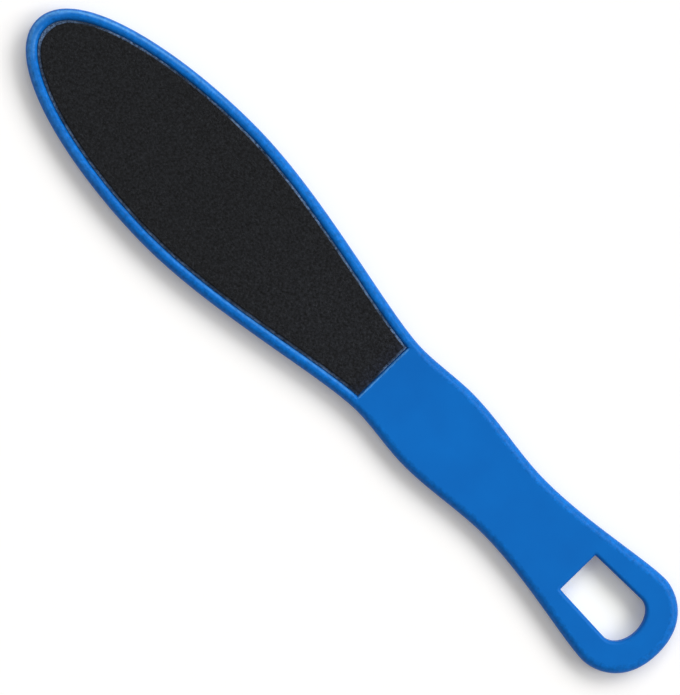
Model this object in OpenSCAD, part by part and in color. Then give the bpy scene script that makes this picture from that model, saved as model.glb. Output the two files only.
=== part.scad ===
// Two-sided foot file: one moulded paddle with an abrasive sheet let into each face of its head.
// +X runs from the handle to the tip of the head, +Y across the paddle and +Z up.
// The origin lies under the middle of the paddle's length, on the surface that the file lies on.
// The outline is half of the paddle, from the tip (at +X) to the end of the handle (at -X), and is mirrored in Y.

/* [Paddle outline] */
// Length from the tip of the head back to its widest place
nose_length = 68; // [50:1:85]
// Length from the widest place of the head to the narrow neck
taper_length = 80; // [60:1:100]
// Length from the neck to the swell under the thumb
thumb_length = 20; // [14:1:28]
// Length from the swell to the waist of the handle
waist_length = 32; // [22:1:42]
// Length from the waist to the widest place of the handle's end
flare_length = 46; // [34:1:60]
// Length from the widest place of the handle's end to its tip
tail_length = 14; // [10:0.5:18]
// Width of the head at its widest place
head_width = 47.8; // [38:0.2:58]
// Width of the neck
neck_width = 26.4; // [22:0.2:31]
// Width of the swell under the thumb
thumb_width = 29.2; // [24:0.2:35]
// Width of the waist of the handle
waist_width = 24; // [20:0.2:29]
// Width of the handle's end at its widest place
tail_width = 34; // [28:0.2:42]

/* [Paddle section] */
// Thickness over the rims and over the handle
body_thickness = 6; // [5:0.1:8]
// Height of each face's rounded outer edge
edge_height = 2.7; // [1.4:0.1:3.6]
// Width of the rounded outer edge round the head
head_edge_width = 1.9; // [1.4:0.1:2.4]
// Width of the rounded outer edge round the handle
handle_edge_width = 2.5; // [1.6:0.1:3.2]
// Length past the recess over which the rounded edge widens from the one to the other
edge_blend_length = 8; // [4:1:14]
// Width of the rim beside each abrasive sheet
rim_width = 3.2; // [2.7:0.1:4.5]
// Further width of the rim at the tip of the head
rim_tip_extra = 0.5; // [0:0.1:1]
// Radius of the rounding from the rim's crest down into the recess
rim_inner_radius = 1.3; // [0.6:0.1:2]
// Depth of the recess in each face
recess_depth = 1.6; // [1.2:0.05:2]
// Radius of the rounding from the handle's face down into the straight end of the recess
recess_end_radius = 0.8; // [0.2:0.1:1.1]
// Length of full-thickness neck between the recess and the narrowest place
recess_to_neck = 3.25; // [1:0.05:8]

/* [Hang hole] */
// Length of the hang hole
hole_length = 24.4; // [18:0.2:30]
// Width of the hole's square end, towards the head
hole_square_width = 14.4; // [10:0.2:18]
// Width of the hole where its round end begins
hole_round_width = 15.6; // [11:0.2:19]
// Length of the hole's round end
hole_round_length = 5.6; // [4:0.1:8]
// Wall between the hole and the end of the handle
hole_end_wall = 9.2; // [7:0.1:12]
// Radius of the rounded mouth of the hole
hole_mouth_radius = 1.2; // [0.4:0.1:1.6]

/* [Abrasive sheets] */
// Gap between the edge of a sheet and the side of its recess
sheet_gap = 0.35; // [0.15:0.05:0.6]
// Gap between the straight end of a sheet and the end of its recess
sheet_end_gap = 0.5; // [0.2:0.05:1.5]
// Width of the bare edge of the backing, where the die cut has crushed the grit away
bare_edge = 0.5; // [0.2:0.05:0.8]
// Width of the bare edge at the straight end of the backing
bare_end = 0.5; // [0.1:0.05:0.8]
// Distance from the edge of the backing to the edge of the adhesive film under it
film_setback = 0.3; // [0.1:0.05:0.6]
// Thickness of the adhesive film
adhesive_thickness = 0.12; // [0.08:0.01:0.2]
// Thickness of the paper backing
backing_thickness = 0.4; // [0.25:0.05:0.55]
// Thickness of the coarse side's coat of resin and grit
coarse_thickness = 0.36; // [0.25:0.01:0.45]
// Thickness of the fine side's coat of resin and grit
fine_thickness = 0.24; // [0.15:0.01:0.35]

/* [Hidden] */

// How far a cut runs past the face that it cuts
overrun = 1;
// Points on each of the outline's six curves, on each rounded edge and on the hole's round end
curve_steps = 14;
round_steps = 6;
hole_steps = 12;

// Lengths along the outline from the tip, one for each place where the width is given
reaches = [
    0,
    nose_length,
    nose_length + taper_length,
    nose_length + taper_length + thumb_length,
    nose_length + taper_length + thumb_length + waist_length,
    nose_length + taper_length + thumb_length + waist_length + flare_length,
    nose_length + taper_length + thumb_length + waist_length + flare_length + tail_length
];
file_length = reaches[len(reaches) - 1];
tip_x = file_length / 2;
tail_x = -file_length / 2;
half_widths = [0, head_width, neck_width, thumb_width, waist_width, tail_width, 0] / 2;

// How far each curve's two control points lie from its ends. At the tip and at the tail, where
// the outline runs across the file, they are shares of the half width, and elsewhere of the stretch.
control_shares = [
    [0.69, 0.44], [0.36, 0.18], [0.31, 0.32], [0.34, 0.32], [0.38, 0.18], [0.25, 0.83]
];

// The most that a rounding takes of the height, depth or width that it lies in
rounding_share = 0.9;
edge_rise = min(edge_height, rounding_share * body_thickness / 2);
rim_round = min(rim_inner_radius, rounding_share * (rim_width - head_edge_width), rounding_share * recess_depth);
recess_end_round = min(recess_end_radius, rounding_share * recess_depth);
recess_x = tip_x - reaches[2] + recess_to_neck;
hole_round_x = tail_x + hole_end_wall + hole_round_length;
hole_square_x = tail_x + hole_end_wall + hole_length;

// Four control points of one of the outline's curves
function control_points(k) =
    let (
        last = len(control_shares) - 1,
        first_point = [tip_x - reaches[k], half_widths[k]],
        last_point = [tip_x - reaches[k + 1], half_widths[k + 1]],
        stretch = [reaches[k + 1] - reaches[k], 0],
        leave = k == 0 ? [0, half_widths[1]] : -stretch,
        arrive = k == last ? [0, half_widths[last]] : stretch
    ) [
        first_point,
        first_point + control_shares[k][0] * leave,
        last_point + control_shares[k][1] * arrive,
        last_point
    ];

function curve_point(p, t) =
    pow(1 - t, 3) * p[0] + 3 * pow(1 - t, 2) * t * p[1] + 3 * (1 - t) * pow(t, 2) * p[2] + pow(t, 3) * p[3];

function curve_direction(p, t) =
    let (d = pow(1 - t, 2) * (p[1] - p[0]) + 2 * (1 - t) * t * (p[2] - p[1]) + pow(t, 2) * (p[3] - p[2]))
    d / norm(d);

// Half of the outline as [point, outward normal], from the tip to the end of the handle
half_outline = [
    for (k = [0 : len(control_shares) - 1])
        let (p = control_points(k), last = k == len(control_shares) - 1)
        for (i = [0 : last ? curve_steps : curve_steps - 1])
            let (d = curve_direction(p, i / curve_steps))
            [curve_point(p, i / curve_steps), [d[1], -d[0]]]
];

// Half of the outline, moved inwards, and further inwards where it faces the tip of the head
function inset_half(inset, tip_extra = 0) = [
    for (place = half_outline)
        let (facing_tip = max(0, place[1][0]))
        place[0] - (inset + tip_extra * pow(facing_tip, 2)) * place[1]
];

// Width of the rounded outer edge at that place along the file
function edge_width_at(x) =
    let (t = max(0, min(1, (recess_x - x) / edge_blend_length)))
    head_edge_width + (handle_edge_width - head_edge_width) * t * t * (3 - 2 * t);

// Half of the outline, moved inwards by a share of the rounded edge's width
function edge_half(share) = [
    for (place = half_outline) place[0] - share * edge_width_at(place[0][0]) * place[1]
];

// Half of the hang hole's outline, from its square end to its round end, grown by a margin
function hole_half(grow) = concat(
    [
        [hole_square_x + grow, 0],
        [hole_square_x + grow, hole_square_width / 2 + grow]
    ],
    [
        for (i = [0 : hole_steps])
            let (turn = 90 * i / hole_steps)
            [
                hole_round_x - (hole_round_length + grow) * sin(turn),
                (hole_round_width / 2 + grow) * cos(turn)
            ]
    ]
);

// A closed outline from one half of it, whose first and last points lie on the X axis
function mirrored(half) = concat(half, [for (i = [len(half) - 2 : -1 : 1]) [half[i][0], -half[i][1]]]);

// Solid through a stack of [height, half outline] layers that all have the same number of points
module skin(layers) {
    rings = [for (layer = layers) [for (p = mirrored(layer[1])) [p[0], p[1], layer[0]]]];
    n = len(rings[0]);
    top = (len(rings) - 1) * n;
    polyhedron(
        points = [for (ring = rings) each ring],
        faces = concat(
            [
                for (r = [0 : len(rings) - 2], i = [0 : n - 1])
                    let (a = r * n + i, b = r * n + (i + 1) % n)
                    each [[a, a + n, b], [b, a + n, b + n]]
            ],
            [
                for (i = [0 : n / 2 - 1])
                    let (j = n - i)
                    each concat(
                        i == 0 ? [] : [[i, i + 1, j], [top + i, top + j, top + i + 1]],
                        i == n / 2 - 1 ? [] : [[j % n, i + 1, j - 1], [top + j % n, top + j - 1, top + i + 1]]
                    )
            ]
        )
    );
}

// Turns a shape made for the upper face over, about the middle of the thickness
module on_lower_face() {
    translate([0, 0, body_thickness]) mirror([0, 0, 1]) children();
}

// The paddle before anything is cut from it: its outline with both edges rounded
module rounded_plate() {
    lower = [
        for (i = [0 : round_steps])
            let (turn = 90 * i / round_steps)
            [edge_rise * (1 - cos(turn)), edge_half(1 - sin(turn))]
    ];
    upper = [for (i = [round_steps : -1 : 0]) [body_thickness - lower[i][0], lower[i][1]]];
    skin(concat(lower, upper));
}

// The cut for one recess: its sides round over into the crest of the rim, and its straight end
// rounds over into the handle's face
module recess_cut() {
    floor_z = body_thickness - recess_depth;
    rounding = [
        for (i = [0 : round_steps])
            let (turn = 90 * i / round_steps)
            [
                body_thickness - rim_round * (1 - sin(turn)),
                inset_half(rim_width - rim_round * (1 - cos(turn)), rim_tip_extra)
            ]
    ];
    above = [body_thickness + overrun, rounding[round_steps][1]];
    straight_end = [
        for (i = [0 : round_steps])
            let (turn = 90 * i / round_steps)
            [
                recess_x - recess_end_round * (1 - cos(turn)),
                body_thickness - recess_end_round * (1 - sin(turn))
            ]
    ];
    section = concat(
        [[recess_x, floor_z - overrun]],
        straight_end,
        [
            [recess_x - recess_end_round, body_thickness + 2 * overrun],
            [tip_x, body_thickness + 2 * overrun],
            [tip_x, floor_z - overrun]
        ]
    );
    intersection() {
        skin(concat([[floor_z, rounding[0][1]]], rounding, [above]));
        rotate([90, 0, 0]) linear_extrude(2 * head_width, center = true) polygon(section);
    }
}

// The cut for the rounded mouth of the hang hole in one face
module mouth_cut() {
    rounding = [
        for (i = [0 : round_steps])
            let (turn = 90 * i / round_steps)
            [
                body_thickness - hole_mouth_radius * (1 - sin(turn)),
                hole_half(hole_mouth_radius * (1 - cos(turn)))
            ]
    ];
    skin(concat(rounding, [[body_thickness + overrun, rounding[round_steps][1]]]));
}

module hang_hole_cut() {
    translate([0, 0, -overrun])
        linear_extrude(body_thickness + 2 * overrun)
            polygon(mirrored(hole_half(0)));
    mouth_cut();
    on_lower_face() mouth_cut();
}

module paddle_body() {
    color([0.05, 0.42, 0.76]) difference() {
        rounded_plate();
        recess_cut();
        on_lower_face() recess_cut();
        hang_hole_cut();
    }
}

// One layer of an abrasive sheet, on the upper face, with its edge and its straight end a margin
// inside the sheet's own
module sheet_layer(edge_margin, end_margin, height, thickness) {
    inset = rim_width + sheet_gap + edge_margin;
    translate([0, 0, body_thickness - recess_depth + height])
        linear_extrude(thickness) intersection() {
            polygon(mirrored(inset_half(inset, rim_tip_extra)));
            translate([recess_x + sheet_end_gap + end_margin, -head_width])
                square([file_length, 2 * head_width]);
        }
}

module adhesive() {
    color([0.85, 0.8, 0.62]) sheet_layer(film_setback, film_setback, 0, adhesive_thickness);
}

module backing() {
    color([0.3, 0.33, 0.38]) sheet_layer(0, 0, adhesive_thickness, backing_thickness);
}

module grit(thickness) {
    color([0.13, 0.13, 0.14])
        sheet_layer(bare_edge, bare_end, adhesive_thickness + backing_thickness, thickness);
}

paddle_body();
adhesive();  // coarse_adhesive
backing();  // coarse_backing
grit(coarse_thickness);  // coarse_grit
on_lower_face() adhesive();  // fine_adhesive
on_lower_face() backing();  // fine_backing
on_lower_face() grit(fine_thickness);  // fine_grit
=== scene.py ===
import math
import random

import bmesh
import bpy
import numpy as np
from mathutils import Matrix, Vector
from mathutils.geometry import delaunay_2d_cdt


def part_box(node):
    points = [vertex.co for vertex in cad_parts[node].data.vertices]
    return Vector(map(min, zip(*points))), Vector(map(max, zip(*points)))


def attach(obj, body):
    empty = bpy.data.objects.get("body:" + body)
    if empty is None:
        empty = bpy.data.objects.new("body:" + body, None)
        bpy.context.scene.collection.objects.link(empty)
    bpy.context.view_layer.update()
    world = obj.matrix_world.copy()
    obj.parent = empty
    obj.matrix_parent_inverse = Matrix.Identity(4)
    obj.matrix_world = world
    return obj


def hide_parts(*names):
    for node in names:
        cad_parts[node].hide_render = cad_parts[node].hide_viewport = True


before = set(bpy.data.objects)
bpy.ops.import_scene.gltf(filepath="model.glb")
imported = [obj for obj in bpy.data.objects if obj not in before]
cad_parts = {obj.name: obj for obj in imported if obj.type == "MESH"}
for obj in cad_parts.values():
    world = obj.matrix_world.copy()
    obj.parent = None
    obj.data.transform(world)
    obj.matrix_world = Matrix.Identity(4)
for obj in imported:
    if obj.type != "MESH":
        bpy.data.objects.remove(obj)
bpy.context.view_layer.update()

# Paddle. One injection moulding in blue plastic: a long oval head with a shallow recess in
# each face and a rounded rim round it, a waisted handle and a hang hole. The mould parts
# along the middle of the edge, which leaves a faint line all the way round and in the hole.
paddle_low, paddle_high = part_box("paddle_body")
mid_height = (paddle_low.z + paddle_high.z) / 2
# Each stretch of the half outline, from the tip of the head to the end of the handle: its
# length, half the width where it ends, and how far its control points lie from its two ends
stretches = [
    (0.068, 0.0239, 0.69, 0.44),
    (0.080, 0.0132, 0.36, 0.18),
    (0.020, 0.0146, 0.31, 0.32),
    (0.032, 0.0120, 0.34, 0.32),
    (0.046, 0.0170, 0.38, 0.18),
    (0.014, 0.0, 0.25, 0.83),
]
# The head is the first two stretches, and the neck lies at their end
neck_place = 2.0
recess_before_neck = 0.00325
recess_x = paddle_high.x - stretches[0][0] - stretches[1][0] + recess_before_neck
recess_end_radius = 0.0008
recess_floor_depth = paddle_high.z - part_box("coarse_adhesive")[0].z
edge_height = 0.0027
head_edge_width = 0.0019
handle_edge_width = 0.0025
edge_blend_length = 0.008
rim_width = 0.0032
rim_tip_extra = 0.0005
rim_inner_radius = 0.00117
hole_end_wall = 0.0092
hole_length = 0.0244
hole_square_half = 0.0072
hole_round_half = 0.0078
hole_round_length = 0.0056
hole_corner_radius = 0.0004
hole_mouth_radius = 0.0012
parting_height = 0.00004
parting_width = 0.00012
# A narrow flat strip beside each rounding, so that the wide flat faces shade as flat
flat_strip = 0.00004
outline_spacing = 0.0009
rounding_steps = 12
hole_corner_steps = 6
hole_round_steps = 24
halvings = 40
smooth_up_to = math.radians(32)

curves = []
start = Vector((paddle_high.x, 0.0))
for length, half_width, leave_share, arrive_share in stretches:
    end = Vector((start.x - length, half_width))
    lengthways = Vector((length, 0.0))
    leave = -lengthways if start.y else Vector((0.0, end.y))
    arrive = lengthways if end.y else Vector((0.0, start.y))
    curves.append((start, start + leave_share * leave, end + arrive_share * arrive, end))
    start = end


def outline_at(place):
    """Point and outward normal on the half outline; each curve is 1 long, from the tip."""
    number = min(int(place), len(curves) - 1)
    a, b, c, d = curves[number]
    t = place - number
    s = 1 - t
    point = s**3 * a + 3 * s * s * t * b + 3 * s * t * t * c + t**3 * d
    direction = s * s * (b - a) + 2 * s * t * (c - b) + t * t * (d - c)
    return point, Vector((direction.y, -direction.x)).normalized()


def inset_point(place, inset, tip_extra=0.0, tip_bare=0.0):
    """A point inside the outline, further in by the two extras where it faces ahead."""
    point, normal = outline_at(place)
    ahead = max(0.0, normal.x)
    return point - (inset + tip_extra * ahead**2 + tip_bare * ahead**4) * normal


def places_every(spacing):
    """Places on the half outline, in even steps along each curve."""
    found = []
    for number, (a, _, _, d) in enumerate(curves):
        steps = math.ceil((a - d).length / spacing)
        found += [number + i / steps for i in range(steps)]
    return found + [len(curves)]


def quarter_turn(steps):
    """The angles of a quarter turn, in even steps."""
    return [math.radians(90 * i / steps) for i in range(steps + 1)]


def both_sides(half):
    """A closed loop from its +Y half, whose first and last points lie on the X axis."""
    return half + [Vector((p.x, -p.y)) for p in half[-2:0:-1]]


def head_loop(places, inset, end_x, tip_bare=0.0):
    """A closed loop round the head at that inset, cut off straight across at end_x."""
    near = places[-1]
    far = neck_place
    for _ in range(halvings):
        middle = (near + far) / 2
        if inset_point(middle, inset, rim_tip_extra).x > end_x:
            near = middle
        else:
            far = middle
    half = [inset_point(place, inset, rim_tip_extra, tip_bare) for place in places + [near]]
    return half[::-1] + [Vector((p.x, -p.y)) for p in half[1:]]


def hole_loop(grow):
    """A closed loop round the hang hole, grown by a margin."""
    square_x = paddle_low.x + hole_end_wall + hole_length
    round_x = paddle_low.x + hole_end_wall + hole_round_length
    corner = Vector((square_x - hole_corner_radius, hole_square_half - hole_corner_radius))
    half = [Vector((square_x + grow, 0.0))]
    for turn in quarter_turn(hole_corner_steps):
        half.append(corner + (hole_corner_radius + grow) * Vector((math.cos(turn), math.sin(turn))))
    for turn in quarter_turn(hole_round_steps):
        half.append(Vector((
            round_x - (hole_round_length + grow) * math.sin(turn),
            (hole_round_half + grow) * math.cos(turn),
        )))
    half[-1].y = 0.0
    return both_sides(half)


def edge_width_at(x):
    """Width of the rounded outer edge, which widens just behind the recess."""
    t = max(0.0, min(1.0, (recess_x - x) / edge_blend_length))
    return head_edge_width + (handle_edge_width - head_edge_width) * t * t * (3 - 2 * t)


def edge_loop(share, further=0.0):
    """A closed loop round the paddle, inset by a share of the rounded edge's width."""
    return both_sides([
        inset_point(place, share * edge_width_at(outline_at(place)[0].x) + further)
        for place in outline_places
    ])


def recess_end_x(depth):
    """Where the straight end of the recess lies at that depth, with its edge rounded."""
    if depth >= recess_end_radius:
        return recess_x
    reach = math.sqrt(recess_end_radius**2 - (recess_end_radius - depth) ** 2)
    return recess_x - recess_end_radius + reach


def add_loop(mesh, points, z):
    """New points of the mesh, all at one height."""
    return [mesh.verts.new((p.x, p.y, z)) for p in points]


def bridge(mesh, loop, next_loop):
    """A strip of faces between two closed loops of as many points."""
    for i in range(len(loop)):
        mesh.faces.new((loop[i - 1], loop[i], next_loop[i], next_loop[i - 1]))


def fill_between(mesh, loops):
    """A flat face of triangles inside the first loop, with the others as its holes."""
    edges = [mesh.edges.get((loop[i - 1], loop[i])) for loop in loops for i in range(len(loop))]
    bmesh.ops.triangle_fill(mesh, use_beauty=True, edges=edges)


def add_object(name, data):
    """A new object in the scene, at the origin."""
    made = bpy.data.objects.new(name, data)
    bpy.context.scene.collection.objects.link(made)
    return made


def object_from(mesh, name):
    """Turns a bmesh into an object of the scene."""
    data = bpy.data.meshes.new(name)
    mesh.to_mesh(data)
    mesh.free()
    return add_object(name, data)


def finish_mesh(mesh, name):
    """Turns a bmesh into an object with outward faces, smooth but for its corners."""
    bmesh.ops.recalc_face_normals(mesh, faces=mesh.faces)
    for face in mesh.faces:
        face.smooth = True
    made = object_from(mesh, name)
    made.data.set_sharp_from_angle(angle=smooth_up_to)
    return made


def ramp(value, none, full):
    """0 where the value is at none, 1 where it is at full, and smooth between."""
    t = max(0.0, min(1.0, (value - none) / (full - none)))
    return t * t * (3 - 2 * t)


def band(value, start, full, fading, end):
    """0 up to start, 1 from full to fading, 0 again past end, and smooth between."""
    return ramp(value, start, full) * ramp(value, end, fading)


def peak(value, middle, half):
    """1 at the middle, and down in straight lines to 0 at half a width from it."""
    return max(0.0, 1 - abs(value - middle) / half)


# Where the rim is painted paler: painted highlights where its rounding faces the lamps, with some real
# rubbing round the nose. For each: how strongly, along which stretch of X, and at which distances in
# from the outline. The outside is painted paler round the nose, most at its front and least towards +Y.
nose_highlight_and_wear_x = (0.055, 0.096)
nose_highlight_and_wear_inset = 0.00099
nose_highlight_and_wear_half = 0.00051
nose_front_gain = 0.35
nose_front_x = (0.102, 0.116)
nose_highlight_and_wear_middle = 0.95
nose_highlight_and_wear_slope = 45
nose_highlight_and_wear_least = 0.2
# The crest has a painted highlight at the tip, from further back on the +Y side
tip_highlight = 0.75
tip_highlight_x = (0.1235, 0.126)
tip_highlight_x_plus_side = (0.119, 0.126)
tip_highlight_insets = (0.0004, 0.0009, 0.0012, 0.0022)
# On the +Y side, which faces away from the lamps, there are also a scuff beside the tip that is partly
# painted highlight, painted light on the outer rounding and crest, and a painted highlight on the inner edge
# that grows towards the neck
scuff_and_highlight = 0.65
scuff_and_highlight_x = (0.1205, 0.1245, 0.1267, 0.1277)
scuff_and_highlight_insets = (0.0016, 0.0022, 0.0023, 0.0027)
crest_painted_light = 0.17
crest_painted_light_x = (0.070, 0.095)
crest_painted_light_insets = (0.0005, 0.0012, 0.0018, 0.0023)
inner_highlight = 0.6
inner_highlight_x = (0.095, 0.010)
inner_highlight_inset = 0.00283
inner_highlight_half = 0.0005
# The rim's colour is more mottled than the handle's edge, and grows so ahead of the neck
rim_mottle_extra = 0.3
rim_mottle_fade = 0.02


def highlight_and_wear_at(x, y, inset):
    """How pale the paddle is painted there: painted highlights, with some real rubbing at the nose."""
    nose = peak(inset, nose_highlight_and_wear_inset, nose_highlight_and_wear_half) * (1 + nose_front_gain * ramp(x, *nose_front_x))
    nose *= ramp(x, *nose_highlight_and_wear_x) * max(nose_highlight_and_wear_least, min(1.0, nose_highlight_and_wear_middle - nose_highlight_and_wear_slope * y))
    tip = tip_highlight * ramp(x, *(tip_highlight_x_plus_side if y > 0 else tip_highlight_x))
    tip *= band(inset, *tip_highlight_insets)
    if y <= 0 or x < recess_x:
        return max(nose, tip)
    beside_tip = scuff_and_highlight * band(x, *scuff_and_highlight_x) * band(inset, *scuff_and_highlight_insets)
    crest_lit = crest_painted_light * ramp(x, *crest_painted_light_x) * band(inset, *crest_painted_light_insets)
    inner_edge = inner_highlight * ramp(x, *inner_highlight_x) * peak(inset, inner_highlight_inset, inner_highlight_half)
    return max(nose, tip, beside_tip, crest_lit, inner_edge)


outline_places = places_every(outline_spacing)
head_places = [
    place for place in outline_places
    if outline_at(place)[0].x > recess_x + 2 * outline_spacing
]
recess_end_half = head_loop(head_places, rim_width, recess_x)[0].y
rounding = quarter_turn(rounding_steps)

paddle = bmesh.new()
rounded = paddle.verts.layers.float.new("rounded")
# Each point carries how pale it is painted: painted highlights, and some real rubbing at the nose
highlight_and_wear = paddle.verts.layers.float.new("highlight_and_wear")
outline_middle = add_loop(paddle, edge_loop(0, -parting_height), mid_height)
hole_middle = add_loop(paddle, hole_loop(-parting_height), mid_height)
for up in (1, -1):
    face_z = paddle_high.z if up > 0 else paddle_low.z

    edge_profile = [(0.0, 0.0, mid_height + up * parting_width)]
    edge_profile += [
        (1 - math.cos(turn), 0.0, face_z - up * edge_height * (1 - math.sin(turn)))
        for turn in rounding
    ]
    edge_profile.append((1.0, flat_strip, face_z))
    outer = outline_middle
    for share, further, z in edge_profile:
        next_loop = add_loop(paddle, edge_loop(share, further), z)
        for vert in next_loop:
            x, y, _ = vert.co
            if not further:
                vert[rounded] = 1 + rim_mottle_extra * ramp(x, recess_x, recess_x + rim_mottle_fade)
            vert[highlight_and_wear] = highlight_and_wear_at(x, y, share * edge_width_at(x))
        bridge(paddle, outer, next_loop)
        outer = next_loop

    hole_profile = [(0.0, mid_height + up * parting_width)]
    hole_profile += [
        (hole_mouth_radius * (1 - math.cos(turn)), face_z - up * hole_mouth_radius * (1 - math.sin(turn)))
        for turn in rounding
    ]
    hole_profile.append((hole_mouth_radius + flat_strip, face_z))
    mouth = hole_middle
    for grow, z in hole_profile:
        next_loop = add_loop(paddle, hole_loop(grow), z)
        bridge(paddle, mouth, next_loop)
        mouth = next_loop

    crest = rim_width - rim_inner_radius
    end_x = recess_end_x(0) - flat_strip
    recess_top = add_loop(paddle, head_loop(head_places, crest - flat_strip, end_x), face_z)
    for vert in recess_top:
        vert[highlight_and_wear] = highlight_and_wear_at(vert.co.x, vert.co.y, crest)
    recess_profile = [
        (crest + rim_inner_radius * math.sin(turn), rim_inner_radius * (1 - math.cos(turn)))
        for turn in rounding
    ]
    recess_profile.append((rim_width, recess_floor_depth))
    wall = recess_top
    for inset, depth in recess_profile:
        next_loop = add_loop(paddle, head_loop(head_places, inset, recess_end_x(depth)), face_z - up * depth)
        for vert in next_loop:
            vert[rounded] = 1 + rim_mottle_extra
            vert[highlight_and_wear] = highlight_and_wear_at(vert.co.x, vert.co.y, inset)
        bridge(paddle, wall, next_loop)
        wall = next_loop

    fill_between(paddle, [wall])
    fill_between(paddle, [outer, recess_top, mouth])
paddle = finish_mesh(paddle, "paddle")


def new_material(name):
    """A material, its node tree, its shader, and where a point of its piece lies."""
    made = bpy.data.materials.new(name)
    made.use_nodes = True
    tree = made.node_tree
    where = tree.nodes.new("ShaderNodeTexCoord").outputs["Object"]
    return made, tree, tree.nodes["Principled BSDF"], where


def feed(tree, socket, value):
    """Gives a socket the value of another socket, or a plain one."""
    if isinstance(value, bpy.types.NodeSocket):
        tree.links.new(value, socket)
    else:
        socket.default_value = value


def arithmetic(tree, operation, *values):
    """A sum on sockets or plain numbers."""
    node = tree.nodes.new("ShaderNodeMath")
    node.operation = operation
    for socket, value in zip(node.inputs, values):
        feed(tree, socket, value)
    return node.outputs["Value"]


def axes_of(tree, where):
    """The X, Y and Z of a place."""
    node = tree.nodes.new("ShaderNodeSeparateXYZ")
    tree.links.new(where, node.inputs["Vector"])
    return node.outputs


def noise(tree, where, scale, detail=2, roughness=0.5):
    """Cloudy noise, from 0 to 1."""
    node = tree.nodes.new("ShaderNodeTexNoise")
    node.inputs["Scale"].default_value = scale
    node.inputs["Detail"].default_value = detail
    node.inputs["Roughness"].default_value = roughness
    tree.links.new(where, node.inputs["Vector"])
    return node.outputs["Fac"]


def carried(tree, name):
    """A value that the piece's points carry."""
    node = tree.nodes.new("ShaderNodeAttribute")
    node.attribute_name = name
    return node.outputs["Fac"]


def remap(tree, value, before, after=(0, 1), smooth=False):
    """Carries a value over from one range to another, held at both ends."""
    node = tree.nodes.new("ShaderNodeMapRange")
    if smooth:
        node.interpolation_type = "SMOOTHSTEP"
    for name, number in zip(("From Min", "From Max", "To Min", "To Max"), (*before, *after)):
        node.inputs[name].default_value = number
    tree.links.new(value, node.inputs["Value"])
    return node.outputs["Result"]


def colours(tree, value, *stops):
    """A colour from a value, by stops that each have a position and a colour."""
    node = tree.nodes.new("ShaderNodeValToRGB")
    made = node.color_ramp.elements
    for number, (position, colour) in ((0, stops[0]), (1, stops[-1])):
        made[number].position = position
        made[number].color = (*colour, 1)
    for position, colour in stops[1:-1]:
        made.new(position).color = (*colour, 1)
    tree.links.new(value, node.inputs["Fac"])
    return node.outputs["Color"]


def scaled(tree, colour, tone):
    """A colour made darker or brighter by a tone."""
    node = tree.nodes.new("ShaderNodeVectorMath")
    node.operation = "SCALE"
    tree.links.new(colour, node.inputs[0])
    tree.links.new(tone, node.inputs["Scale"])
    return node.outputs["Vector"]


def mixed(tree, kind, factor, first, second):
    """Goes from the first to the second as the factor goes from 0 to 1."""
    node = tree.nodes.new("ShaderNodeMix")
    node.data_type = kind
    for name, value in (("Factor", factor), ("A", first), ("B", second)):
        feed(tree, node.inputs[name], value)
    return node.outputs["Result"]


def relief(tree, height, strength, distance):
    """A bumpy normal."""
    node = tree.nodes.new("ShaderNodeBump")
    node.inputs["Strength"].default_value = strength
    node.inputs["Distance"].default_value = distance
    tree.links.new(height, node.inputs["Height"])
    return node.outputs["Normal"]


blue_plastic, tree, shader, where = new_material("blue_plastic")
shader.inputs["Specular IOR Level"].default_value = 0.075
cloudy = noise(tree, where, scale=60, detail=3)
blue = colours(tree, cloudy, (0.3, (0.0035, 0.128, 0.478)), (0.7, (0.0035, 0.146, 0.528)))

# The rounded edges are a little mottled by handling
mottle = noise(tree, where, scale=700, detail=5, roughness=0.75)
mottle_tone = remap(tree, mottle, (0.3, 0.7), (-0.26, 0.26))
edge_tone = arithmetic(tree, "MULTIPLY_ADD", mottle_tone, carried(tree, "rounded"), 1.0)
handled = scaled(tree, blue, edge_tone)

# A ragged line along the edge of the recess's straight end is a painted highlight, and the rim's painted
# highlights and rubbing join it
highlight_line_x = recess_x - 0.4 * recess_end_radius
highlight_line_reach = 0.00045
highlight_line_stray = 0.0003
highlight_line_end_fade = 0.0006
axes = axes_of(tree, where)
ragged = noise(tree, where, scale=450)
strayed = arithmetic(tree, "MULTIPLY_ADD", ragged, highlight_line_stray, -highlight_line_stray / 2 - highlight_line_x)
from_line = arithmetic(tree, "ADD", axes["X"], strayed)
line_ends = (recess_end_half - highlight_line_end_fade, recess_end_half + highlight_line_end_fade)
highlight_line_by = [
    remap(tree, arithmetic(tree, "ABSOLUTE", offset), reaches, (1, 0), smooth=True)
    for offset, reaches in ((from_line, (0, highlight_line_reach)), (axes["Y"], line_ends))
]
on_line = arithmetic(tree, "MULTIPLY", *highlight_line_by)
# The paler blue is painted highlight, with some real rubbing round the nose
highlight_and_wear_share = arithmetic(tree, "MAXIMUM", on_line, carried(tree, "highlight_and_wear"))
uneven_highlight_and_wear = arithmetic(tree, "MULTIPLY", highlight_and_wear_share, remap(tree, mottle, (0.3, 0.65), (0.18, 0.5)))
plastic_colour = mixed(tree, "RGBA", uneven_highlight_and_wear, handled, (0.19, 0.50, 0.86, 1))
tree.links.new(plastic_colour, shader.inputs["Base Color"])
tree.links.new(remap(tree, cloudy, (0, 1), (0.34, 0.44)), shader.inputs["Roughness"])
spark = noise(tree, where, scale=3000)
tree.links.new(relief(tree, spark, strength=0.25, distance=0.00002), shader.inputs["Normal"])
paddle.data.materials.append(blue_plastic)
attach(paddle, "root")
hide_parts("paddle_body")

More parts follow.
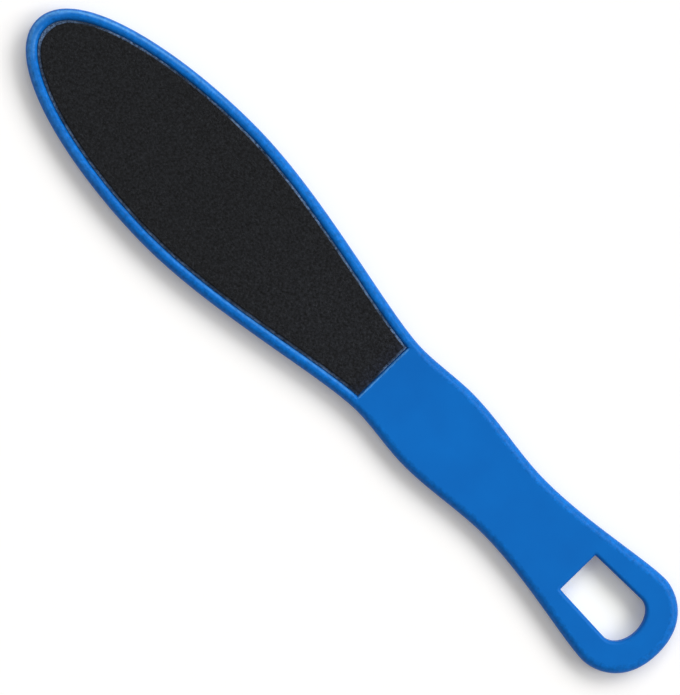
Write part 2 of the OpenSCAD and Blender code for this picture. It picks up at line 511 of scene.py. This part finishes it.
# Adhesive films. A thin double-sided film, faintly yellow, under each sheet. It stops short of
# the paper's edge, so that none of it can be seen.
film, tree, shader, where = new_material("adhesive_film")
shader.inputs["Roughness"].default_value = 0.35
shader.inputs["Coat Weight"].default_value = 0.3
streaks = noise(tree, where, scale=900)
film_colour = colours(tree, streaks, (0, (0.42, 0.38, 0.24)), (1, (0.66, 0.62, 0.46)))
tree.links.new(film_colour, shader.inputs["Base Color"])
for side in ("coarse", "fine"):
    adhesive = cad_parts[side + "_adhesive"]
    adhesive.data.materials.clear()
    adhesive.data.materials.append(film)

# Paper backings. Heavy grey-blue latex paper, die-cut to the shape of the recess. The cut
# crushes and frays the edge, and leaves a narrow pale ledge outside the grit.
sheet_low, sheet_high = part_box("coarse_backing")
sheet_inset = paddle_high.y - sheet_high.y
paper_spread = 0.0002
# Points along the cut lie this far apart, and its straight end has this many steps
cut_spacing = 0.0003
end_steps = 52
fray = 0.00003
crush_width = 0.00012
crush_depth = 0.00006
pale_width = 0.00045
tip_pale_width = 0.00075
tip_fade_width = 1.6 * tip_pale_width
tip_pale_x = (0.117, 0.1235)
# Each coat lies a little nearer to the -Y side of its recess than to the other, except at the
# tip, and its paper is off by half as much
coat_slip = 0.0002
slip_fade = 0.015
paper_slip_share = 0.5

paper, tree, shader, where = new_material("backing_paper")
shader.inputs["Roughness"].default_value = 0.85
shader.inputs["Specular IOR Level"].default_value = 0.2
fibres = noise(tree, where, scale=1300, detail=5, roughness=0.75)
paper_and_painted_light = colours(tree, fibres, (0.38, (0.006, 0.014, 0.032)), (0.66, (0.11, 0.18, 0.30)))
tree.links.new(relief(tree, fibres, strength=0.6, distance=0.00005), shader.inputs["Normal"])

# The paper is painted darker at the straight end but for its corners, as painted shade, and by stretches it
# is painted lighter along the -Y side, which faces the lamps, than along the other: painted light and shade.
# Resin has soaked in from the coat in patches, and the crushed edge took less of it.
end_shade_x = (sheet_low.x + 0.0007, sheet_low.x + 0.0015)
end_corner = (recess_end_half - 0.0013, recess_end_half - 0.0009)
side_blend = 0.002
# For the -Y side, which faces the lamps, and the other: share of the way from the tip to the straight end,
# and the tone of its painted light and shade
side_light_stretches = [
    (
        (0.0, 1.1), (0.055, 0.6), (0.083, 0.3), (0.12, 1.2), (0.17, 1.75),
        (0.26, 0.65), (0.36, 1.15), (0.49, 1.6), (0.64, 1.85), (1.0, 1.5),
    ),
    ((0.0, 0.85), (0.05, 0.55), (0.35, 0.52), (0.45, 0.36), (1.0, 0.4)),
]
axes = axes_of(tree, where)
at_end = remap(tree, axes["X"], end_shade_x, (0.5, 1))
at_corner = remap(tree, arithmetic(tree, "ABSOLUTE", axes["Y"]), end_corner)
painted_end_shade = arithmetic(tree, "MAXIMUM", at_end, at_corner)
from_tip = remap(tree, axes["X"], (paddle_high.x, recess_x))
light_by_side = [
    colours(tree, from_tip, *[(position, (tone, tone, tone)) for position, tone in side])
    for side in side_light_stretches
]
painted_side_light = mixed(tree, "FLOAT", remap(tree, axes["Y"], (-side_blend, side_blend)), *light_by_side)
patch_tone = remap(tree, noise(tree, where, scale=150), (0.35, 0.65), (0.6, 1.4))
crush_tone = remap(tree, carried(tree, "crushed"), (0, 1), (1.0, 2.2))
for tone in (painted_end_shade, painted_side_light, patch_tone, crush_tone):
    paper_and_painted_light = scaled(tree, paper_and_painted_light, tone)
tree.links.new(paper_and_painted_light, shader.inputs["Base Color"])

cut_places = [
    place for place in places_every(cut_spacing)
    if outline_at(place)[0].x > sheet_low.x + 8 * cut_spacing
]


def slip_at(x):
    """How far the coat has slipped towards -Y there."""
    return coat_slip * np.clip((paddle_high.x - x) / slip_fade, 0.0, 1.0)


def sheet_loop(margin, end_margin, slip_share, tip_bare=0.0):
    """A closed loop round a sheet, inside its cut edge, with points along its straight end."""
    loop = head_loop(cut_places, sheet_inset + margin, sheet_low.x + end_margin, tip_bare)
    loop = [Vector((p.x, p.y - slip_share * slip_at(p.x))) for p in loop]
    return loop + [loop[-1].lerp(loop[0], i / end_steps) for i in range(1, end_steps)]


for side, up in (("coarse", 1), ("fine", -1)):
    low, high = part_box(side + "_backing")
    under, over = (low.z, high.z) if up > 0 else (high.z, low.z)
    chance = random.Random(side + " paper")
    frays = [chance.uniform(-fray, fray) for _ in sheet_loop(0, 0, paper_slip_share)]
    # Margin, height, share of the fraying, and how pale it is along the sides and at the tip
    profile = [
        (0.0, under, 0.3, 1.0, 0.5),
        (0.0, under + 0.4 * (over - under), 1.0, 1.0, 0.5),
        (0.0, over - up * crush_depth, 1.0, 1.0, 0.5),
        (crush_width / 3, over - up * crush_depth / 3, 0.6, 1.0, 0.45),
        (crush_width, over, 0.3, 0.9, 0.4),
        (2 * crush_width, over, 0.0, 0.5, 0.45),
        (pale_width, over, 0.0, 0.0, 0.5),
        (tip_pale_width, over, 0.0, 0.0, 0.6),
        (tip_fade_width, over, 0.0, 0.0, 0.2),
    ]
    backing = bmesh.new()
    crushed = backing.verts.layers.float.new("crushed")
    loops = []
    for margin, z, share, pale, tip_pale in profile:
        from_cut = margin - paper_spread
        outer = sheet_loop(from_cut, from_cut, paper_slip_share)
        inner = sheet_loop(from_cut + fray, from_cut + fray, paper_slip_share)
        points = [p + (q - p) * (share * offset / fray) for p, q, offset in zip(outer, inner, frays)]
        loops.append(add_loop(backing, points, z))
        for vert in loops[-1]:
            vert[crushed] = pale + (tip_pale - pale) * ramp(vert.co.x, *tip_pale_x)
    for i in range(1, len(loops)):
        bridge(backing, loops[i - 1], loops[i])
    fill_between(backing, [loops[0]])
    fill_between(backing, [loops[-1]])
    backing = finish_mesh(backing, side + "_paper")
    backing.data.materials.append(paper)
    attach(backing, "root")
    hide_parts(side + "_backing")

# Grit coats. Dark resin, laid on the paper while wet, then sown with mineral grains and
# baked. The coat ends just inside the cut edge, where the die crushed it away, and it is worn
# back further at the tip.
grit_low, grit_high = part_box("coarse_grit")
grit_margin = sheet_high.y - grit_high.y
grit_end_margin = grit_low.x - sheet_low.x
grit_tip_bare = 0.0006
end_tint_reach = 0.059
# The coat's points lie in rows, and each strays from its place. As shares of their spacing: from
# one row to the next, a little less to count the rows by, the stray inside and on the edge, and
# the room between the edge and the points inside.
row_share = 0.866
row_count_share = 0.85
stray_share = 0.28
edge_stray_share = 0.2
edge_room_share = 0.7
# How thick the coat is at its edge, as a share, and what tells its top from its underside
edge_cover = 0.45
least_cover = 0.1
grain_segments = 4
grain_rings = 2
grain_scales = (0.35, 0.65)


def grain_material(name, dark, light):
    """Dark stone or resin, speckled by the tone that each point or grain carries."""
    made, tree, shader, where = new_material(name)
    shader.inputs["Specular IOR Level"].default_value = 0.10
    tone = carried(tree, "tone")
    clumps = remap(tree, noise(tree, where, scale=1300, detail=3), (0.3, 0.7), (0.1, 1.9))
    speckled = scaled(tree, colours(tree, tone, (0, dark), (1, light)), clumps)
    # Paler towards the straight end, and bluish right beside it
    end_tint = colours(
        tree,
        remap(tree, axes_of(tree, where)["X"], (grit_low.x, grit_low.x + end_tint_reach)),
        (0, (1.25, 1.38, 1.90)),
        (0.07, (1.20, 1.21, 1.27)),
        (0.5, (1.16, 1.16, 1.19)),
        (1, (0.97, 0.97, 0.98)),
    )
    end_tinted = tree.nodes.new("ShaderNodeVectorMath")
    end_tinted.operation = "MULTIPLY"
    tree.links.new(speckled, end_tinted.inputs[0])
    tree.links.new(end_tint, end_tinted.inputs[1])
    tree.links.new(end_tinted.outputs["Vector"], shader.inputs["Base Color"])
    tree.links.new(remap(tree, tone, (0, 1), (0.75, 0.4)), shader.inputs["Roughness"])
    chips = tree.nodes.new("ShaderNodeTexVoronoi")
    chips.inputs["Scale"].default_value = 9000
    tree.links.new(where, chips.inputs["Vector"])
    facets = relief(tree, chips.outputs["Distance"], strength=0.5, distance=0.00003)
    tree.links.new(facets, shader.inputs["Normal"])
    return made


def node_group(name, sizes):
    """A geometry node tree with a mesh in and out and a named input for each size."""
    tree = bpy.data.node_groups.new(name, "GeometryNodeTree")
    tree.interface.new_socket("Mesh", in_out="INPUT", socket_type="NodeSocketGeometry")
    tree.interface.new_socket("Mesh", in_out="OUTPUT", socket_type="NodeSocketGeometry")
    for size in sizes:
        tree.interface.new_socket(size, in_out="INPUT", socket_type="NodeSocketFloat")
    tree.interface.new_socket("Seed", in_out="INPUT", socket_type="NodeSocketInt")
    tree.interface.new_socket("Material", in_out="INPUT", socket_type="NodeSocketMaterial")
    return tree, tree.nodes.new("NodeGroupInput").outputs, tree.nodes.new("NodeGroupOutput").inputs


def stored_value(tree, name):
    """A value that the mesh's points carry."""
    node = tree.nodes.new("GeometryNodeInputNamedAttribute")
    node.data_type = "FLOAT"
    node.inputs["Name"].default_value = name
    return next(socket for socket in node.outputs if socket.enabled and socket.name == "Attribute")


def random_value(tree, kind, low, high, seed):
    """A random value for each point or grain."""
    node = tree.nodes.new("FunctionNodeRandomValue")
    node.data_type = kind
    shown = [socket for socket in node.inputs if socket.enabled]
    for socket, value in zip(shown, (low, high)):
        socket.default_value = value
    tree.links.new(seed, node.inputs["Seed"])
    return next(socket for socket in node.outputs if socket.enabled)


def with_tone(tree, geometry, domain, seed):
    """The same points or grains, each with a random tone for the material to read."""
    node = tree.nodes.new("GeometryNodeStoreNamedAttribute")
    node.data_type = "FLOAT"
    node.domain = domain
    node.inputs["Name"].default_value = "tone"
    tree.links.new(geometry, node.inputs["Geometry"])
    tree.links.new(random_value(tree, "FLOAT", 0.0, 1.0, seed), node.inputs["Value"])
    return node.outputs["Geometry"]


def end_tree(tree, result, given, kept):
    """Makes every instance real and gives the result its material."""
    realize = tree.nodes.new("GeometryNodeRealizeInstances")
    paint = tree.nodes.new("GeometryNodeSetMaterial")
    tree.links.new(result, realize.inputs["Geometry"])
    tree.links.new(realize.outputs["Geometry"], paint.inputs["Geometry"])
    tree.links.new(given["Material"], paint.inputs["Material"])
    tree.links.new(paint.outputs["Geometry"], kept["Mesh"])


# Raises the flat coat: every point by its share of the resin's height and by a rough amount
raise_coat, given, kept = node_group("raise_coat", ["Height", "Roughness"])
rough = random_value(raise_coat, "FLOAT", -1.0, 1.0, given["Seed"])
rough = arithmetic(raise_coat, "MULTIPLY", rough, given["Roughness"])
lift = arithmetic(raise_coat, "ADD", rough, given["Height"])
lift = arithmetic(raise_coat, "MULTIPLY", lift, stored_value(raise_coat, "cover"))
upwards = raise_coat.nodes.new("ShaderNodeCombineXYZ")
raise_coat.links.new(lift, upwards.inputs["Z"])
move = raise_coat.nodes.new("GeometryNodeSetPosition")
raise_coat.links.new(given["Mesh"], move.inputs["Geometry"])
raise_coat.links.new(upwards.outputs["Vector"], move.inputs["Offset"])
tone_seed = arithmetic(raise_coat, "ADD", given["Seed"], 1)
toned = with_tone(raise_coat, move.outputs["Geometry"], "POINT", tone_seed)
end_tree(raise_coat, toned, given, kept)

# Sows grains on the coat, but not under it: small eight-sided crystals, each turned and
# stretched its own way
sow_grains, given, kept = node_group("sow_grains", ["Density", "Grain Size"])
on_top = arithmetic(sow_grains, "GREATER_THAN", stored_value(sow_grains, "cover"), least_cover)
sow = sow_grains.nodes.new("GeometryNodeDistributePointsOnFaces")
sow_grains.links.new(given["Mesh"], sow.inputs["Mesh"])
sow_grains.links.new(on_top, sow.inputs["Selection"])
sow_grains.links.new(given["Density"], sow.inputs["Density"])
sow_grains.links.new(given["Seed"], sow.inputs["Seed"])
crystal = sow_grains.nodes.new("GeometryNodeMeshUVSphere")
crystal.inputs["Segments"].default_value = grain_segments
crystal.inputs["Rings"].default_value = grain_rings
sow_grains.links.new(given["Grain Size"], crystal.inputs["Radius"])
lay = sow_grains.nodes.new("GeometryNodeInstanceOnPoints")
sow_grains.links.new(sow.outputs["Points"], lay.inputs["Points"])
sow_grains.links.new(crystal.outputs["Mesh"], lay.inputs["Instance"])
for name, least, most, step in (
    ("Rotation", 0, 2 * math.pi, 1),
    ("Scale", *grain_scales, 2),
):
    its_seed = arithmetic(sow_grains, "ADD", given["Seed"], step)
    its_own = random_value(sow_grains, "FLOAT_VECTOR", (least,) * 3, (most,) * 3, its_seed)
    sow_grains.links.new(its_own, lay.inputs[name])
tone_seed = arithmetic(sow_grains, "ADD", given["Seed"], 3)
toned = with_tone(sow_grains, lay.outputs["Instances"], "INSTANCE", tone_seed)
end_tree(sow_grains, toned, given, kept)


def run_tree(piece, tree, values):
    """Sets the tree's inputs, runs it on the piece and keeps the result as a plain mesh."""
    modifier = piece.modifiers.new(tree.name, "NODES")
    modifier.node_group = tree
    for item in tree.interface.items_tree:
        if item.in_out == "INPUT" and item.name in values:
            modifier[item.identifier] = values[item.name]
    evaluated = piece.evaluated_get(bpy.context.evaluated_depsgraph_get())
    result = bpy.data.meshes.new_from_object(evaluated)
    piece.modifiers.remove(modifier)
    piece.data = result
    piece.data.name = piece.name


def coat_points(spacing, chance):
    """Points all over the coat, as its edge and its inside."""
    edge = sheet_loop(grit_margin, grit_end_margin, 1, grit_tip_bare)
    room = edge_room_share * spacing
    inner = sheet_loop(grit_margin + room, grit_end_margin + room, 1, grit_tip_bare)
    half = sorted((p.x, p.y + slip_at(p.x)) for p in inner if p.y + slip_at(p.x) >= 0)
    rows = int(sheet_high.y / spacing / row_count_share) + 1
    columns = int((sheet_high.x - sheet_low.x) / spacing)
    inside = []
    for row in range(-rows, rows + 1):
        for column in range(columns):
            x = sheet_low.x + (column + 0.5 * (row % 2)) * spacing
            x += chance.uniform(-stray_share, stray_share) * spacing
            y = row * row_share * spacing + chance.uniform(-stray_share, stray_share) * spacing
            inside.append((x, y))
    inside = np.array(inside)
    reach = np.interp(inside[:, 0], *zip(*half), left=0, right=0)
    inside = inside[np.abs(inside[:, 1]) < reach]
    inside[:, 1] -= slip_at(inside[:, 0])
    edge = [
        p + Vector((chance.uniform(-1, 1), chance.uniform(-1, 1))) * edge_stray_share * spacing
        for p in edge
    ]
    return edge, [Vector(p) for p in inside]


def coat_mesh(name, spacing, z, up, chance):
    """A flat closed coat of small triangles, whose points know how thickly they are covered."""
    edge, inside = coat_points(spacing, chance)
    keep_inside = 1
    merge_within = 1e-7
    verts, _, faces, sources, _, _ = delaunay_2d_cdt(
        edge + inside, [], [list(range(len(edge)))], keep_inside, merge_within
    )
    mesh = bmesh.new()
    cover = mesh.verts.layers.float.new("cover")
    top = add_loop(mesh, verts, z)
    for vert, numbers in zip(top, sources):
        on_edge = any(number < len(edge) for number in numbers)
        vert[cover] = edge_cover if on_edge else 1.0
    # The triangles come in a different order each time, and the grains are sown in that order
    turned = [face[face.index(min(face)):] + face[:face.index(min(face))] for face in faces]
    for face in sorted(turned):
        mesh.faces.new([top[i] for i in face])
    before = {}
    for border in mesh.edges:
        if border.is_boundary:
            corner = border.link_loops[0]
            before[corner.link_loop_next.vert] = corner.vert
    rim = [next(iter(before))]
    while before[rim[-1]] is not rim[0]:
        rim.append(before[rim[-1]])
    under = [mesh.verts.new(vert.co) for vert in rim]
    bridge(mesh, rim, under)
    mesh.faces.new(under)
    if up < 0:
        bmesh.ops.reverse_faces(mesh, faces=mesh.faces[:])
    return object_from(mesh, name)


resin = grain_material("resin", (0.004, 0.0044, 0.0052), (0.010, 0.0108, 0.0125))
mineral = grain_material("mineral", (0.005, 0.0055, 0.0063), (0.0240, 0.0260, 0.0305))
# Side, which way it faces, its points' spacing, the roughness of its resin, a grain's radius
# before it is scaled, and grains on a square metre
coats = [
    ("coarse", 1, 0.00024, 0.00006, 0.00012, 4.6e6),
    ("fine", -1, 0.00024, 0.00003, 0.00008, 5.0e6),
]
coat_seed_step = 10
grain_seed_step = 5
for number, (side, up, spacing, roughness, grain_size, density) in enumerate(coats):
    low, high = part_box(side + "_grit")
    base = low.z if up > 0 else high.z
    height = high.z - low.z - roughness
    seed = coat_seed_step * number
    coat = coat_mesh(side + "_coat", spacing, base, up, random.Random(side + " coat"))
    run_tree(coat, raise_coat, {
        "Height": up * height,
        "Roughness": roughness,
        "Seed": seed,
        "Material": resin,
    })
    grains = add_object(side + "_grains", coat.data.copy())
    run_tree(grains, sow_grains, {
        "Density": density,
        "Grain Size": grain_size,
        "Seed": seed + grain_seed_step,
        "Material": mineral,
    })
    for piece in (coat, grains):
        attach(piece, "root")
    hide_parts(side + "_grit")

# Floor. A wide white table just under the file, which keeps its shadow. Under the hang hole it
# is painted a warmer white, against the blue light that the walls throw there.
floor_half = 6.0
floor_z = -0.00002
floor_glow = 0.10
hole_middle_x = paddle_low.x + hole_end_wall + hole_length / 2
# How far from the hole's middle the warmer white starts, and where it is full
hole_white_reach = (0.017, 0.0143)
floor_data = bpy.data.meshes.new("floor")
floor_corners = [(-1, -1), (1, -1), (1, 1), (-1, 1)]
floor_data.from_pydata(
    [(x * floor_half, y * floor_half, floor_z) for x, y in floor_corners],
    [],
    [(0, 1, 2, 3)],
)
floor = add_object("floor", floor_data)
white_table, tree, shader, where = new_material("white_table")
shader.inputs["Roughness"].default_value = 0.9
shader.inputs["Specular IOR Level"].default_value = 0.0
from_hole = tree.nodes.new("ShaderNodeVectorMath")
from_hole.operation = "DISTANCE"
from_hole.inputs[1].default_value = (hole_middle_x, 0, 0)
tree.links.new(where, from_hole.inputs[0])
below_hole = remap(tree, from_hole.outputs["Value"], hole_white_reach)
table_colour = mixed(tree, "RGBA", below_hole, (0.93, 0.93, 0.95, 1), (1, 1, 0.955, 1))
tree.links.new(table_colour, shader.inputs["Base Color"])
ray = tree.nodes.new("ShaderNodeLightPath").outputs
glow = arithmetic(tree, "MULTIPLY", ray["Is Camera Ray"], floor_glow)
shader.inputs["Emission Color"].default_value = (1, 0.87, 0.52, 1)
tree.links.new(glow, shader.inputs["Emission Strength"])
floor_data.materials.append(white_table)

# World. Even white light from all round, and white where the camera, a reflection or a view
# through something sees past the table.
world_light = 0.26
world_seen = 1.0
world = bpy.data.worlds.new("studio")
world.use_nodes = True
bpy.context.scene.world = world
tree = world.node_tree
sky = tree.nodes["Background"]
sky.inputs["Color"].default_value = (1, 1, 1, 1)
ray = tree.nodes.new("ShaderNodeLightPath").outputs
seen = arithmetic(tree, "MAXIMUM", ray["Is Camera Ray"], ray["Is Glossy Ray"])
seen = arithmetic(tree, "MAXIMUM", seen, ray["Is Transmission Ray"])
tree.links.new(remap(tree, seen, (0, 1), (world_light, world_seen)), sky.inputs["Strength"])

# Lamps. A fan of soft lights, strongest over the -Y side of the file and round to its tip. Each
# has its share of the light that falls on a level surface, its azimuth and its elevation.
lamp_radius = 14.5
lamps = [
    ("lamp_handle_end", 0.045, 185, 51),
    ("lamp_handle", 0.20, 223, 36),
    ("lamp_middle", 0.255, 261, 36),
    ("lamp_head", 0.165, 299, 37.5),
    ("lamp_tip", 0.05, 345, 52),
    ("lamp_far_side", 0.025, 25, 58),
]
for name, share, azimuth, elevation in lamps:
    azimuth = math.radians(azimuth)
    elevation = math.radians(elevation)
    lamp_data = bpy.data.lights.new(name, "SUN")
    lamp_data.angle = math.radians(2 * lamp_radius)
    lamp_data.energy = share * math.pi / math.sin(elevation)
    lamp = add_object(name, lamp_data)
    lamp.location = (
        math.cos(elevation) * math.cos(azimuth),
        math.cos(elevation) * math.sin(azimuth),
        math.sin(elevation),
    )
    lamp.rotation_mode = "QUATERNION"
    lamp.rotation_quaternion = lamp.location.to_track_quat("Z", "Y")

# Camera. It looks straight down through a long lens, turned so that the file lies from the
# upper left to the lower right, and moved a little to centre it in the frame.
camera_turn = math.radians(225.65)
camera_height = 1.1345
camera_to_right = -0.00217
camera_to_top = -0.00318
camera_data = bpy.data.cameras.new("camera")
camera_data.lens = 200
camera_data.sensor_width = 36
camera_data.clip_end = 30
camera = add_object("camera", camera_data)
right = Vector((math.cos(camera_turn), math.sin(camera_turn), 0.0))
top = Vector((-math.sin(camera_turn), math.cos(camera_turn), 0.0))
camera.location = camera_to_right * right + camera_to_top * top + Vector((0.0, 0.0, camera_height))
camera.rotation_euler = (0.0, 0.0, camera_turn)
bpy.context.scene.camera = camera
bpy.context.scene.view_settings.view_transform = "Standard"
